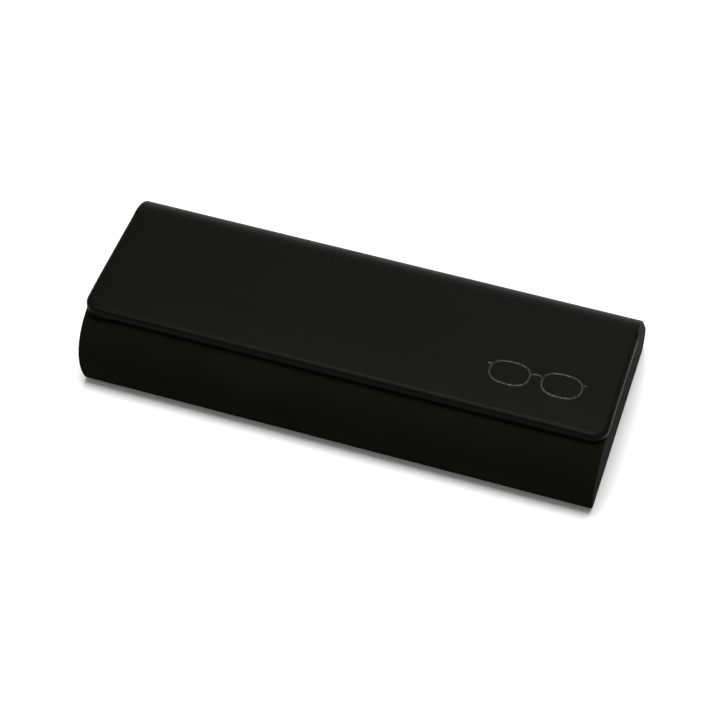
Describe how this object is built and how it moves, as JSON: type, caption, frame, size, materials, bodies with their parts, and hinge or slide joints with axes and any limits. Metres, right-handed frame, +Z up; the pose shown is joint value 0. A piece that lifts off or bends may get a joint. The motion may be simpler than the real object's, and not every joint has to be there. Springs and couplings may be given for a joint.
{
  "type": "eyeglasses case",
  "caption": "Slim hard eyeglasses case in black leather: curved trough with closed ends and a flat flap lid on a leather hinge, held shut by magnets.",
  "frame": {"origin": "middle of the flat underside, at the centre of the closed case's box", "axes": "+X along the case, to the right of someone facing the flap's opening edge; -Y towards that edge; +Z up"},
  "size_m": [0.162, 0.072, 0.03],
  "materials": {
    "black_leather": "matte black leatherette with a fine grain",
    "velvet": "short charcoal velvet",
    "hardboard": "plain grey-brown board",
    "steel_sheet": "grey primed sheet",
    "woven_tape": "plain cotton weave",
    "foam": "fine-celled foam",
    "magnet": "nickel plated",
    "foil": "dull pewter hot-stamped foil"
  },
  "bodies": {
    "trough": {"steel_shell": "steel_sheet", "body_cover": "black_leather", "front_rim_strip": "black_leather", "body_lining": "velvet", "floor_pad": "velvet", "left_end_cover": "black_leather", "right_end_cover": "black_leather", "left_end_board": "hardboard", "right_end_board": "hardboard", "left_end_lining": "velvet", "right_end_lining": "velvet", "hinge_strip": "black_leather", "hinge_tape": "woven_tape", "hinge_lining": "velvet"},
    "lid": {"lid_cover": "black_leather", "lid_board": "hardboard", "lid_foam": "foam", "lid_lining": "velvet", "lid_magnets": "magnet", "emblem": "foil"}
  },
  "joints": [
    {"name": "lid_hinge", "type": "hinge", "parent": "trough", "child": "lid", "pos_m": [0, 0.0165, 0.0294], "axis": [-1, 0, 0], "range_deg": [0, 180], "deforming": ["hinge_strip", "hinge_tape", "hinge_lining"]}
  ]
}
